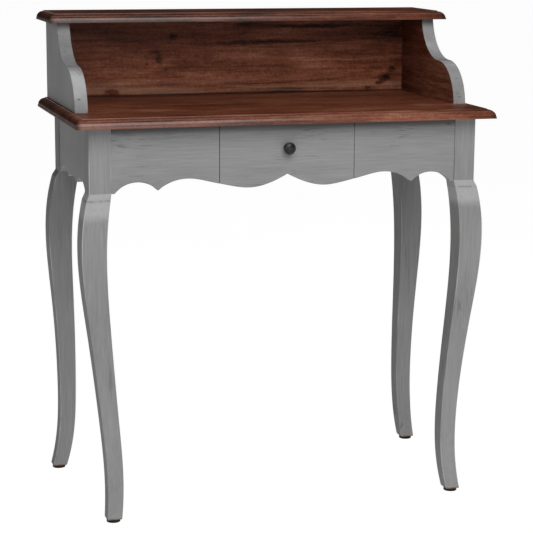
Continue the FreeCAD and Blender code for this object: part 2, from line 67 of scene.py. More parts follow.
class Wire:  # one output socket of a finish, with sums written as plain Python
    def __init__(self, tree, socket):
        self.tree = tree
        self.socket = socket

    def add(self, kind, settings, sockets, out=0):
        node = self.tree.nodes.new("ShaderNode" + kind)
        for name, value in settings.items():
            if name == "stops":
                setStops(node.color_ramp, value)
            else:
                setattr(node, name, value)
        for key, value in sockets.items():
            if isinstance(value, Wire):
                self.tree.links.new(node.inputs[key], value.socket)
            else:
                node.inputs[key].default_value = value
        return Wire(self.tree, node.outputs[out])

    def math(self, operation, *values):
        return self.add("Math", {"operation": operation}, dict(enumerate(values)))

    def __add__(self, other):
        return self.math("ADD", self, other)

    def __radd__(self, other):
        return self.math("ADD", other, self)

    def __sub__(self, other):
        return self.math("SUBTRACT", self, other)

    def __rsub__(self, other):
        return self.math("SUBTRACT", other, self)

    def __mul__(self, other):
        return self.math("MULTIPLY", self, other)

    def __rmul__(self, other):
        return self.math("MULTIPLY", other, self)

    def __truediv__(self, other):
        return self.math("DIVIDE", self, other)

    def __rtruediv__(self, other):
        return self.math("DIVIDE", other, self)

    def orMore(self, other):
        return self.math("MAXIMUM", self, other)

    def swing(self, depth):  # a noise swung about zero
        return (self - 0.5) * depth

    def stretched(self, scale):  # a vector, multiplied part by part
        return self.add("VectorMath", {"operation": "MULTIPLY"}, {0: self, 1: scale})

    def moved(self, by):
        return self.add("VectorMath", {"operation": "ADD"}, {0: self, 1: by})

    def parts(self):  # the x, y and z of a vector
        split = self.add("SeparateXYZ", {}, {0: self})
        return [Wire(self.tree, out) for out in split.socket.node.outputs]

    def noise(self, scale, detail=2.0, roughness=0.5, distortion=0.0, out=0):
        sockets = {"Vector": self, "Scale": scale, "Detail": detail}
        sockets.update({"Roughness": roughness, "Distortion": distortion})
        return self.add("TexNoise", {}, sockets, out)

    def combed(self, axis, scales, detail=3.0, roughness=0.6, distortion=0.0):  # drawn out along an axis
        lengthwise, crosswise = scales
        scale = tuple(lengthwise if letter == axis else crosswise for letter in "xyz")
        return self.stretched(scale).noise(1.0, detail, roughness, distortion)

    def reading(self, name):  # a number noted on the faces
        return self.add("Attribute", {"attribute_name": name}, {}, out=2)

    def step(self, low, high):  # 0 below low, 1 above high, eased between
        settings = {"interpolation_type": "SMOOTHSTEP"}
        return self.add("MapRange", settings, {0: self, 1: low, 2: high, 3: 0.0, 4: 1.0})

    def blend(self, low, high):  # this value mixes two colours
        return self.add("Mix", {"data_type": "RGBA"}, {0: self, 6: low, 7: high}, out=2)

    def ramp(self, stops):
        return self.add("ValToRGB", {"stops": stops}, {0: self})

    def bump(self, strength, distance):
        return self.add("Bump", {}, {"Height": self, "Strength": strength, "Distance": distance})


def setStops(ramp, stops):
    while len(ramp.elements) < len(stops):
        ramp.elements.new(1.0)
    for element, (position, colour) in zip(ramp.elements, stops):
        element.position = position
        element.color = (*colour, 1.0)


def newFinish(name, **fixed):  # the fixed values go straight onto the shader's own sockets
    finish = bpy.data.materials.new(name)
    finish.use_nodes = True
    tree = finish.node_tree
    shader = tree.nodes["Principled BSDF"]
    names = {"shine": "Specular IOR Level", "metallic": "Metallic", "coatRoughness": "Coat Roughness",
             "glowColour": "Emission Color", "glow": "Emission Strength"}
    for key, value in fixed.items():
        shader.inputs[names[key]].default_value = value
    place = tree.nodes.new("ShaderNodeTexCoord").outputs["Object"]
    return finish, shader, Wire(tree, place)


def link(shader, **wires):  # what changes over the surface
    names = {"colour": "Base Color", "roughness": "Roughness", "normal": "Normal", "coat": "Coat Weight"}
    for key, wire in wires.items():
        wire.tree.links.new(shader.inputs[names[key]], wire.socket)


def spot(across, up, depth):  # a soft round spot, both distances counted in its own radius
    far = across * across + up * up
    return depth / (1 + far * far)


def grey(value):
    return (value, value, value, 1.0)


# Finishes

paint = {
    "thin": 0.085,                # where the brush left little paint
    "full": 0.245,
    "rubbedAndLit": 0.390,              # lighter paint along rubbed edges, also used for the painted highlight on the knees and the painted light on the shins and the shelf sides' lower front edges
    "darkGroundAndShade": 0.045,              # dark ground in dents and dry strokes, and the colour of the painted shade in the knee crease and under the overhangs
    "bareWood": (0.165, 0.112, 0.075, 1.0),
    "shine": 0.12,
    "roughness": 0.62,
    "bump": (0.35, 0.0005),
    "brush": (14.0, 430.0),       # pattern scale along and across the strokes
    "sweep": (3.0, 60.0),
    "drag": (9.0, 200.0),
    "stroke": (34.0, 620.0),
    "coat": 0.66,                 # how full the coat is, then what makes it uneven
    "brushDepth": 0.68,
    "sweepDepth": 0.30,
    "cloudDepth": 0.30,
    "evenCloudDepth": 0.65,
    "dryDepth": 0.42,
    "legDryDepth": 0.32,
    # how dark the painted shade high up on the rear legs is
    "thinDepth": 0.18,
    "sideShadeDepth": 0.20,
    "overhangShadeDepth": 0.85,
    "strokeDepth": 0.62,
    "strokeLift": 0.055,          # more dry strokes high up
    "rubDepth": 0.60,
    "dentDepth": 0.70,
    "bareDepth": 0.70,
    "creaseDepth": 0.55,
    "creaseWidth": 0.0013,
    "dryDrag": (0.57, 0.66),      # from none to all of it, over these values of the noise
    "dryPatch": (0.48, 0.62),
    "strokeRange": (0.62, 0.71),
    "strokePatch": (0.35, 0.60),
    "rubPatch": (0.40, 0.66),
    "creaseChips": (0.38, 0.58),
    "bareChips": (0.66, 0.72),
    "ragged": 0.004,              # how far a painted edge wanders
    "overhangShadeRagged": 0.012,
    "dentRagged": 0.010,
}


def greyPaint(axis, legWearAndLight=None, bareFoot=None, dryAbove=None, overhangShadeAbove=None, dents=(),
              even=False, rearShadeAbove=None):
    name = "greyPaint_" + axis + ("_leg" if legWearAndLight else "")
    finish, shader, place = newFinish(name, shine=paint["shine"])
    darkGroundAndShade = grey(paint["darkGroundAndShade"])
    x, _, z = place.parts()
    brush = place.combed(axis, paint["brush"])
    sweep = place.combed(axis, paint["sweep"], roughness=0.55)
    drag = place.combed(axis, paint["drag"], distortion=0.4)
    cloud = place.noise(8.0, 3.0)
    patch = place.moved((3.1, 1.7, 0.4)).noise(5.5)
    chips = place.noise(150.0, 2.0, 0.6)
    worn = place.reading("worn")
    tone = paint["coat"] + brush.swing(paint["brushDepth"]) + sweep.swing(paint["sweepDepth"])
    tone = tone + cloud.swing(paint["evenCloudDepth"] if even else paint["cloudDepth"])
    if not even:
        dry = drag.step(*paint["dryDrag"]) * patch.step(*paint["dryPatch"])
        tone = tone - dry * (paint["legDryDepth"] if bareFoot else paint["dryDepth"])
    if rearShadeAbove:  # painted shade high up on the rear legs, under the desk
        tone = tone - z.step(*rearShadeAbove) * paint["thinDepth"]
    if bareFoot:  # the legs' side faces are painted darker, as painted shade
        tone = tone - place.reading("oneCoat") * paint["sideShadeDepth"]
    colour = tone.blend(grey(paint["thin"]), grey(paint["full"]))
    rubAndLight = worn * cloud.step(*paint["rubPatch"]) * paint["rubDepth"]
    if overhangShadeAbove:  # painted shade under the overhang, darker towards the top edge
        overhangShade = (z + sweep.swing(paint["overhangShadeRagged"])).step(*overhangShadeAbove)
        colour = (overhangShade * paint["overhangShadeDepth"]).blend(colour, darkGroundAndShade)
        rubAndLight = rubAndLight * (1 - overhangShade)
    if dryAbove:  # short dry strokes, most of them high up under the top
        stroke = place.combed(axis, paint["stroke"], 2.0, 0.5, 0.3)
        stroke = (stroke + z.step(*dryAbove) * paint["strokeLift"]).step(*paint["strokeRange"])
        stroke = stroke * patch.step(*paint["strokePatch"]) * paint["strokeDepth"]
        colour = stroke.blend(colour, darkGroundAndShade)
    if legWearAndLight:  # rubbed paint with a painted highlight at the knee, and painted light making the shin lighter towards the foot
        height = z + cloud.swing(paint["ragged"])
        low, high, fade = legWearAndLight["span"]
        knee = height.step(low - fade, low) * (1 - height.step(high, high + 0.002))
        knee = knee * (0.30 + chips * 0.35)
        shin = (1 - height.step(*legWearAndLight["shin"])) * (0.05 + cloud * 0.16)
        rubAndLight = rubAndLight.orMore(knee + shin)
    colour = rubAndLight.blend(colour, grey(paint["rubbedAndLit"]))
    if legWearAndLight:
        # a dark line painted along the knee crease, as painted crease shade
        off = (height - legWearAndLight["crease"]) / paint["creaseWidth"]
        line = chips.step(*paint["creaseChips"]) / (1 + off * off)
        colour = (line * paint["creaseDepth"]).blend(colour, darkGroundAndShade)
    for centreX, centreZ, size in dents:  # small knocks into the paint
        across = (x - centreX + chips.swing(paint["dentRagged"])) / (size * 1.6)
        up = (z - centreZ + patch.swing(paint["ragged"])) / size
        colour = spot(across, up, paint["dentDepth"]).blend(colour, darkGroundAndShade)
    bare = worn * chips.step(*paint["bareChips"]) * paint["bareDepth"]
    if bareFoot:
        painted = (z + chips.swing(paint["ragged"])).step(bareFoot, bareFoot + 0.001)
        bare = bare.orMore(1 - painted)
    colour = bare.blend(colour, paint["bareWood"])
    roughness = paint["roughness"] + brush.swing(0.3) + bare * 0.2
    relief = brush + drag * 0.6 - bare * 0.5
    link(shader, colour=colour, roughness=roughness, normal=relief.bump(*paint["bump"]))
    return finish


stain = {
    "stops": [
        (0.00, (0.008, 0.004, 0.003)),
        (0.22, (0.039, 0.012, 0.007)),
        (0.50, (0.102, 0.030, 0.015)),
        (0.75, (0.174, 0.060, 0.034)),
        (1.00, (0.262, 0.122, 0.080)),
    ],
    "shine": 0.05,
    "mouldedShine": 0.01,         # the moulded boards shine by their varnish alone
    "varnishRoughness": 0.20,
    "roughness": 0.42,
    "bump": (0.22, 0.0003),
    "rings": (1.5, 15.0),         # pattern scale along and across the grain
    "fibre": (26.0, 380.0),
    "pores": (60.0, 700.0),
    "cloud": (5.0, 13.0),
    "streak": (2.4, 75.0),
    "ringCount": 62.0,
    "ringBend": 0.12,             # the rings run round a knot
    "tone": 0.53,                 # how light the stain is, then what makes it uneven
    "bandDepth": 0.055,
    "fibreDepth": 0.48,
    "cloudDepth": 1.05,
    "warpDepth": 0.35,
    "streakDepth": 0.78,
    "speckDepth": 0.55,
    "poreDepth": 0.13,
    "markDepth": 0.55,
    "wornAndHighlightLift": 0.10,
    "cornerShadeDepth": 0.16,
    "endSpan": (0.012, 0.002),    # the end grain starts and is full this far from the end
    "endTone": 0.22,
    "endPull": 0.60,              # how nearly the ends take on one tone
    "endDepth": 0.12,
    "endDull": 0.75,
    "thinFoot": (0.738, 0.768),
    "thinColour": (0.190, 0.105, 0.068, 1.0),
    "thinDepth": 0.55,
    "jointShadow": (0.7315, 0.7350),    # painted contact shadow where the board meets the top
    "jointShadowDepth": 0.85,
}


def darkMarks(place, marks):  # knots and streaks with ragged edges
    ragged = place.noise(34.0, 3.0, 0.6, out=1)
    ragged = ragged.moved((-0.5, -0.5, -0.5)).stretched((0.030, 0.0, 0.010))
    x, _, z = place.moved(ragged).parts()
    return sum(spot((x - centreX) / halfLength, (z - centreZ) / halfHeight, depth)
               for centreX, centreZ, halfLength, halfHeight, depth in marks)


def stainedWood(name, axis, shift=(0.0, 0.0, 0.0), marks=(), faded=0.0, varnish=0.0,
                endGrain=None, corner=None, coarse=1.0):
    shine = stain["mouldedShine"] if endGrain else stain["shine"]
    finish, shader, place = newFinish(name, shine=shine, coatRoughness=stain["varnishRoughness"])
    x, y, z = place.parts()
    own = place.moved(shift)
    warp = own.noise(3.5)
    rings = own.combed(axis, stain["rings"], roughness=0.55, distortion=0.5)
    fibre = own.combed(axis, stain["fibre"])
    pores = own.combed(axis, stain["pores"], 1.0, 0.5)
    cloud = own.combed(axis, stain["cloud"], 5.0, distortion=0.6)
    streak = own.combed(axis, stain["streak"], distortion=0.4)
    speck = own.noise(210.0, 3.0, 0.6)
    if marks:
        dark = darkMarks(place, marks)
        rings = rings + dark * stain["ringBend"]
    rings = rings * stain["ringCount"]
    bands = rings.math("SINE", rings)
    tone = stain["tone"] + faded + bands * stain["bandDepth"] + warp.swing(stain["warpDepth"])
    tone = tone + cloud.swing(stain["cloudDepth"]) + streak.swing(stain["streakDepth"])
    tone = tone + fibre.swing(stain["fibreDepth"] * coarse) + speck.swing(stain["speckDepth"] * coarse)
    tone = tone - pores.step(0.60, 0.70) * stain["poreDepth"]
    # lighter wood on the eased edges: wear, and on the mouldings' step a painted highlight line
    tone = tone + place.reading("worn") * stain["wornAndHighlightLift"] * fibre.step(0.4, 0.6)
    if marks:
        tone = tone - dark * stain["markDepth"]
    roughness = stain["roughness"] + fibre.swing(0.35) + cloud.swing(0.2)
    if endGrain:  # the sawn ends drink more stain and stay dull
        begin, full = (endGrain - inset for inset in stain["endSpan"])
        ends = x.math("ABSOLUTE", x).step(begin, full)
        tone = tone + ends * ((stain["endTone"] - tone) * stain["endPull"] - stain["endDepth"])
        roughness = roughness + ends * 0.25
        coat = place.reading("polish") * varnish * (0.7 + cloud * 0.6)
        link(shader, coat=coat * (1 - ends * stain["endDull"]))
    if corner:  # painted shade, darker towards the back corner
        tone = tone - (y + warp.swing(0.03)).step(*corner) * stain["cornerShadeDepth"]
    colour = tone.ramp(stain["stops"])
    if marks:  # the stain is thin and greyer along the foot of the board
        thin = 1 - z.step(*stain["thinFoot"])
        thin = thin * streak.step(0.40, 0.62) * (1 - dark.step(0.1, 0.5))
        colour = (thin * stain["thinDepth"]).blend(colour, stain["thinColour"])
        # a painted contact shadow along the foot, where the board meets the top
        jointShadow = 1 - (z + cloud.swing(0.006)).step(*stain["jointShadow"])
        darkest = (*stain["stops"][0][1], 1.0)
        colour = (jointShadow * stain["jointShadowDepth"]).blend(colour, darkest)
    relief = fibre + bands * 0.25 - pores.step(0.58, 0.70) * 0.8
    link(shader, colour=colour, roughness=roughness, normal=relief.bump(*stain["bump"]))
    return finish


raw = {
    "stops": [(0.0, (0.13, 0.070, 0.035)), (0.45, (0.30, 0.185, 0.098)), (1.0, (0.46, 0.315, 0.190))],
    "roughness": 0.68,
    "bump": (0.3, 0.0004),
    "rings": (1.6, 24.0),
    "fibre": (9.0, 380.0),
    "ringCount": 46.0,
    "tone": 0.52,
    "bandDepth": 0.10,
    "fibreDepth": 0.55,
    "cloudDepth": 0.40,
    "wornDepth": 0.08,
}


def rawWood(axis):
    finish, shader, place = newFinish("rawWood_" + axis)
    rings = place.combed(axis, raw["rings"], roughness=0.55, distortion=0.4) * raw["ringCount"]
    bands = rings.math("SINE", rings)
    fibre = place.combed(axis, raw["fibre"])
    cloud = place.noise(6.0, 3.0)
    tone = raw["tone"] + bands * raw["bandDepth"] + fibre.swing(raw["fibreDepth"])
    tone = tone + cloud.swing(raw["cloudDepth"]) - place.reading("worn") * raw["wornDepth"]
    link(shader, colour=tone.ramp(raw["stops"]), roughness=raw["roughness"] + fibre.swing(0.3))
    link(shader, normal=(fibre + bands * 0.2).bump(*raw["bump"]))
    return finish


iron = {
    "stops": [(0.3, (0.003, 0.003, 0.003)), (0.7, (0.018, 0.018, 0.017))],
    "shine": 0.35,
    "metallic": 0.3,
    "roughness": 0.26,
    "bump": (0.7, 0.0010),
}


def darkIron():
    finish, shader, place = newFinish("darkIron", shine=iron["shine"], metallic=iron["metallic"])
    pits = place.noise(380.0, 2.0, 0.6)
    haze = place.noise(160.0)
    link(shader, colour=(haze * 0.7 + pits * 0.3).ramp(iron["stops"]))
    link(shader, roughness=iron["roughness"] + pits.swing(0.3), normal=pits.bump(*iron["bump"]))
    return finish


steel = {
    "stops": [(0.3, (0.33, 0.32, 0.28)), (0.7, (0.55, 0.54, 0.50))],
    "roughness": 0.30,
    "bump": (0.1, 0.0002),
}


def screwSteel():
    finish, shader, place = newFinish("screwSteel", metallic=1.0)
    haze = place.noise(260.0, 3.0)
    link(shader, colour=haze.ramp(steel["stops"]), normal=haze.bump(*steel["bump"]))
    link(shader, roughness=steel["roughness"] + haze * 0.25)
    return finish


glide = {
    "stops": [(0.35, (0.006, 0.006, 0.006)), (0.75, (0.022, 0.020, 0.018))],
    "shine": 0.1,
    "roughness": 0.55,
    "bump": (0.15, 0.0002),
}


def glidePlastic():
    finish, shader, place = newFinish("glidePlastic", shine=glide["shine"])
    grain = place.noise(700.0)
    dust = place.noise(90.0, 3.0)
    link(shader, colour=dust.ramp(glide["stops"]), normal=grain.bump(*glide["bump"]))
    link(shader, roughness=glide["roughness"] + grain.swing(0.3))
    return finish


def paleFloor(glow):
    white = (1.0, 1.0, 1.0, 1.0)
    finish, shader, place = newFinish("paleFloor", shine=0.0, glowColour=white, glow=glow)
    cloud = place.noise(1.5, 3.0)
    link(shader, colour=cloud.ramp([(0.3, (0.10, 0.10, 0.10)), (0.7, (0.13, 0.13, 0.13))]))
    link(shader, roughness=0.75 + cloud * 0.1)
    return finish


# Modelling helpers

hairsbreadth = 1e-6  # points closer than this are one point
easing = {
    "sharp": 40.0,        # degrees from which an edge is eased
    "rim": 0.0004,        # edges as short as this belong to a bore, which stays as drilled
    "boardCrease": 28.0,  # degrees from which a board's faces meet in a crease
}


def only(piece):
    bpy.ops.object.select_all(action="DESELECT")
    piece.select_set(True)
    bpy.context.view_layer.objects.active = piece


def edit(piece):
    only(piece)
    bpy.ops.object.mode_set(mode="EDIT")


def leave():
    bpy.ops.object.mode_set(mode="OBJECT")


def clearPick(piece):
    edit(piece)
    bpy.ops.mesh.select_all(action="DESELECT")
    leave()


def pickFaces(piece, test):  # by each face's middle and normal, and on into edit mode
    clearPick(piece)
    for face in piece.data.polygons:
        face.select = test(face.center, face.normal)
    bpy.ops.object.mode_set(mode="EDIT")
    bpy.ops.mesh.select_mode(type="FACE")


def pickEdges(piece, test):  # by each edge's key and two ends, and on into edit mode
    clearPick(piece)
    mesh = piece.data
    for edge in mesh.edges:
        a, b = (mesh.vertices[i].co for i in edge.vertices)
        edge.select = test(edge.key, a, b)
    bpy.ops.object.mode_set(mode="EDIT")
    bpy.ops.mesh.select_mode(type="EDGE")


def drawOut(by):  # extrudes what is picked
    bpy.ops.mesh.extrude_region_move(TRANSFORM_OT_translate={"value": by})


def plainBlock(name, low, high):  # between two corners, to be shaped further
    bpy.ops.object.select_all(action="DESELECT")
    bpy.ops.mesh.primitive_cube_add(size=1.0, location=[(a + b) / 2 for a, b in zip(low, high)],
                                    scale=[b - a for a, b in zip(low, high)])
    piece = bpy.context.object
    piece.name = name
    bpy.ops.object.transform_apply(location=True, rotation=False, scale=True)
    return piece


def mergedCopy(nodeName, pieceName):  # the CAD piece's triangles, merged into whole faces
    piece = bpy.data.objects.new(pieceName, nodes[nodeName].data.copy())
    piece.data.name = pieceName
    bpy.context.scene.collection.objects.link(piece)
    edit(piece)
    bpy.ops.mesh.select_mode(type="FACE")
    bpy.ops.mesh.select_all(action="SELECT")
    bpy.ops.mesh.remove_doubles(threshold=hairsbreadth)
    bpy.ops.mesh.dissolve_limited(angle_limit=math.radians(0.4))
    leave()
    return piece


def noteFaces(piece, name, value):  # keeps a number for each face, which the finishes read
    note = piece.data.attributes.new(name, "FLOAT", "FACE")
    for face in piece.data.polygons:
        note.data[face.index].value = value(face)


def easeEdges(piece, width, steps, sharpness=easing["sharp"]):  # rounds arrises and notes them as worn
    mesh = piece.data
    while len(mesh.materials) < 2:
        mesh.materials.append(None)  # the second slot tells the new faces
    for face in mesh.polygons:
        face.material_index = 0
    edit(piece)
    bpy.ops.mesh.select_mode(type="EDGE")
    bpy.ops.mesh.select_all(action="DESELECT")
    bpy.ops.mesh.edges_select_sharp(sharpness=math.radians(sharpness))
    leave()
    sharp = {edge.key for edge in mesh.edges if edge.select}
    pickEdges(piece, lambda key, a, b: key in sharp and (a - b).length > easing["rim"])
    bpy.ops.mesh.bevel(offset=width, segments=steps, profile=0.5, affect="EDGES",
                       clamp_overlap=True, material=1)
    leave()
    noteFaces(piece, "worn", lambda face: float(face.material_index))
    for face in mesh.polygons:
        face.material_index = 0
    mesh.materials.clear()


def smooth(piece, angle):  # smooth over the eased edges, with the wide faces kept flat
    only(piece)
    bpy.ops.object.shade_smooth_by_angle(angle=math.radians(angle))
    flatten = piece.modifiers.new("flatten", "WEIGHTED_NORMAL")
    flatten.keep_sharp = True
    bpy.ops.object.modifier_apply(modifier=flatten.name)


def seat(piece, finish, slotName, *nodeNames):
    if not piece.data.materials:
        piece.data.materials.append(finish)
    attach(piece, nodes[nodeNames[0]]["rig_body"])
    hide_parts(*nodeNames)
    return piece


def dress(nodeName, finish):  # a finish for a piece that keeps its CAD shape
    nodes[nodeName].data.materials.clear()
    nodes[nodeName].data.materials.append(finish)


# Legs: the sawn cabriole, drawn down ring by ring and eased along its arrises

leg = {
    "knee": 0.5945,
    "bevelDrop": 0.011,
    "block": 0.010,              # height of the block that the leg is drawn down from
    "rings": 58,
    "arris": 0.0016,
    "arrisSteps": 3,
    "crease": 15.0,              # degrees
    "bareFoot": 0.0022,          # paint worn off this far above the foot's end
    "rubbedLitKnee": 0.030,         # length of the rubbed band with its painted highlight below the knee, and of its fading end
    "rubbedLitFade": 0.022,
    # the front legs are painted lighter below these heights, as painted light
    "shinLightSpan": (0.050, 0.420),
    # the rear legs' painted shade deepens between these heights
    "rearShadeAbove": (0.250, 0.560),
    "sideways": 0.8,             # faces that look this much to a side are painted darker, as painted shade
}


def sections(node):  # the CAD leg's four sides at a height
    mesh = node.data
    ends = [[mesh.vertices[i].co.copy() for i in edge.vertices] for edge in mesh.edges]

    def at(height):
        points = []
        for a, b in ends:
            if a.z != b.z and min(a.z, b.z) <= height <= max(a.z, b.z):
                points.append(a.lerp(b, (height - a.z) / (b.z - a.z)))
        xs = [p.x for p in points]
        ys = [p.y for p in points]
        return min(xs), max(xs), min(ys), max(ys)

    return at


def cabrioleLeg(nodeName, finish):
    at = sections(nodes[nodeName])
    foot, top = (corner.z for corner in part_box(nodeName))
    bevelFoot = leg["knee"] - leg["bevelDrop"]
    heights = [leg["knee"], bevelFoot]
    heights += [bevelFoot + (foot - bevelFoot) * (i + 1) / leg["rings"] for i in range(leg["rings"])]
    x0, x1, y0, y1 = at(top)
    start = top - leg["block"]
    piece = plainBlock("finished_" + nodeName, (x0, y0, start), (x1, y1, top))
    pickFaces(piece, lambda middle, normal: normal.z < -0.9)
    was = (x0, x1, y0, y1, start)
    for height in heights:
        now = (*at(height), height)
        shift = [(now[i] + now[i + 1] - was[i] - was[i + 1]) / 2 for i in (0, 2)]
        drawOut((*shift, now[4] - was[4]))
        middle = ((now[0] + now[1]) / 2, (now[2] + now[3]) / 2, height)
        grow = ((now[1] - now[0]) / (was[1] - was[0]), (now[3] - now[2]) / (was[3] - was[2]), 1.0)
        bpy.ops.transform.resize(value=grow, center_override=middle)
        was = now
    leave()
    easeEdges(piece, leg["arris"], leg["arrisSteps"])
    noteFaces(piece, "oneCoat", lambda face: float(abs(face.normal.x) > leg["sideways"]))
    smooth(piece, leg["crease"])
    return seat(piece, finish, "painted_wood", nodeName)


legBand = {
    "span": (leg["knee"] - leg["rubbedLitKnee"], leg["knee"], leg["rubbedLitFade"]),
    "crease": leg["knee"] - leg["bevelDrop"],
    "shin": leg["shinLightSpan"],
}
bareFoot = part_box("leg_front_left")[0].z + leg["bareFoot"]
frontLegPaint = greyPaint("z", legBand, bareFoot)
rearLegPaint = greyPaint("z", bareFoot=bareFoot, rearShadeAbove=leg["rearShadeAbove"])
for side in ("left", "right"):
    cabrioleLeg("leg_front_" + side, frontLegPaint)
    cabrioleLeg("leg_rear_" + side, rearLegPaint)
print("legs drawn")


# Aprons, drawer and shelf sides: the sawn boards with eased edges

apron = {
    "arris": 0.0005,
    "drawerArris": 0.0003,
    "dry": (-0.050, -0.020),     # measured from the top edge
    # painted shade under the writing top's overhang, measured from the top edge
    "overhangShade": (-0.020, -0.004),
    "dents": [(0.310, 0.701, 0.0018)],  # x, z and size
}


def easedBoard(nodeName, finish, slotName, arris, steps=2):
    piece = mergedCopy(nodeName, "finished_" + nodeName)
    easeEdges(piece, arris, steps)
    smooth(piece, easing["boardCrease"])
    return seat(piece, finish, slotName, nodeName)


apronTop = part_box("apron_rear")[1].z
apronDry = [apronTop + off for off in apron["dry"]]
apronOverhangShade = [apronTop + off for off in apron["overhangShade"]]
paintX = greyPaint("x", dryAbove=apronDry, overhangShadeAbove=apronOverhangShade, dents=apron["dents"])
paintY = greyPaint("y")
for name in ("apron_front_left", "apron_front_right", "apron_rear"):
    easedBoard(name, paintX, "painted_wood", apron["arris"])
for name in ("apron_side_left", "apron_side_right"):
    easedBoard(name, paintY, "painted_wood", apron["arris"])
easedBoard("drawer_front", paintX, "painted_wood", apron["drawerArris"])
print("aprons and drawer front eased")

shelfSide = {
    "arris": 0.0016,
    "arrisSteps": 3,
    "overhangShade": (-0.017, 0.003),    # painted shade under the shelf top, measured from the shelf top's underside
    "dents": [                   # x, z and size
        (-0.3635, 0.7540, 0.0015),
        (0.3605, 0.7425, 0.0013),
        (-0.3640, 0.8280, 0.0008),
        (0.3600, 0.7760, 0.0008),
    ],
    "swell": 0.800,              # the front edge is rubbed, and painted lighter below this height as painted light and darker above as painted shade under the top
    "rubbedAndLitBelow": 1.30,
    "rubbedAndShadedAbove": 0.80,
    "faded": 0.20,
    "coarse": 1.8,
    "corner": (0.100, 0.175),    # the painted shade within deepens between these depths
}
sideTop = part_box("hutch_top")[0].z
sideOverhangShade = [sideTop + off for off in shelfSide["overhangShade"]]
paintZ = greyPaint("z", overhangShadeAbove=sideOverhangShade, dents=shelfSide["dents"], even=True)
innerStain = stainedWood("stainedSide", "y", (0.4, 0.2, 0.1), faded=shelfSide["faded"],
                         corner=shelfSide["corner"], coarse=shelfSide["coarse"])
for name in ("hutch_side_left", "hutch_side_right"):
    inwards = 1.0 if name.endswith("left") else -1.0
    side = easedBoard(name, paintZ, "painted_wood", shelfSide["arris"], shelfSide["arrisSteps"])
    side.data.materials.append(innerStain)  # the shelf side is stained within and painted without
    rubbedAndLit = side.data.attributes["worn"].data
    for face in side.data.polygons:
        face.material_index = 1 if face.normal.x * inwards > 0.9 else 0
        if face.normal.y < -0.1:  # the shaped front edge
            # wear on the front edge, painted lighter below the swell and darker above, as painted light
            # and shade
            below = face.center.z < shelfSide["swell"]
            rubbedAndLit[face.index].value = shelfSide["rubbedAndLitBelow"] if below else shelfSide["rubbedAndShadedAbove"]
print("shelf sides eased")

drawerBox = {
    "arris": 0.0008,
    "grain": {"drawer_side_left": "y", "drawer_side_right": "y", "drawer_back": "x", "drawer_bottom": "x"},
}
rawFinish = {axis: rawWood(axis) for axis in "xyz"}
for name, axis in drawerBox["grain"].items():
    easedBoard(name, rawFinish[axis], "raw_wood", drawerBox["arris"])
print("drawer box eased")


# Moulded boards: the writing top and the shelf top

mould = {
    "radius": 0.014,
    "ledge": 0.0008,
    "quirk": 0.0015,             # the fine step where the round meets the flat
    "shelf": 0.0005,
    "steps": 12,
    "arris": 0.00035,
    "sharp": 50.0,               # degrees
    "crease": 30.0,
    "flatPolish": 0.14,          # sleeves dull the flats, the mouldings keep their varnish
    "varnish": 0.60,
}


def stepIn(low, high, height, by):  # draws the picked top face in along the front and both ends
    drawOut((0.0, 0.0, 0.0))
    wide, deep = high.x - low.x, high.y - low.y
    bpy.ops.transform.resize(value=((wide - 2 * by) / wide, (deep - by) / deep, 1.0),
                             center_override=((low.x + high.x) / 2, high.y, height))


def mouldedBoard(nodeName, finish):
    low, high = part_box(nodeName)
    shoulder = high.z - mould["radius"]
    crown = high.z - mould["quirk"]
    rear = high.y - hairsbreadth
    almostCrown = crown - hairsbreadth
    piece = plainBlock("finished_" + nodeName, low, (high.x, high.y, shoulder))
    pickFaces(piece, lambda middle, normal: normal.z > 0.9)
    stepIn(low, high, shoulder, mould["ledge"])
    drawOut((0.0, 0.0, crown - shoulder))
    leave()
    pickEdges(piece, lambda key, a, b: min(a.z, b.z) > almostCrown and min(a.y, b.y) < rear)
    bpy.ops.mesh.bevel(offset=crown - shoulder, segments=mould["steps"], profile=0.5, affect="EDGES",
                       clamp_overlap=False)
    bpy.ops.mesh.select_all(action="SELECT")
    bpy.ops.mesh.remove_doubles(threshold=10 * hairsbreadth)  # the round ends on the ledge's own line
    leave()
    pickFaces(piece, lambda middle, normal: normal.z > 0.999 and middle.z > almostCrown)
    stepIn(low, high, crown, mould["shelf"])
    drawOut((0.0, 0.0, mould["quirk"]))
    leave()
    pickFaces(piece, lambda middle, normal: middle.y > rear)  # the rear is one flat face
    bpy.ops.mesh.dissolve_faces()
    leave()
    easeEdges(piece, mould["arris"], 2, mould["sharp"])
    noteFaces(piece, "polish", lambda face: 1.0 if abs(face.normal.z) < 0.95 else mould["flatPolish"])
    smooth(piece, mould["crease"])
    return seat(piece, finish, "stained_wood", nodeName)


tops = {
    "desktop": {"name": "stainedDesktop", "shift": (0.0, 0.0, 0.0), "faded": 0.02},
    "hutch_top": {"name": "stainedTop", "shift": (0.7, 0.3, 0.2), "faded": -0.15},
}
for nodeName, look in tops.items():
    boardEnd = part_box(nodeName)[1].x
    mouldedBoard(nodeName, stainedWood(axis="x", varnish=mould["varnish"], endGrain=boardEnd, **look))
print("moulded boards made")

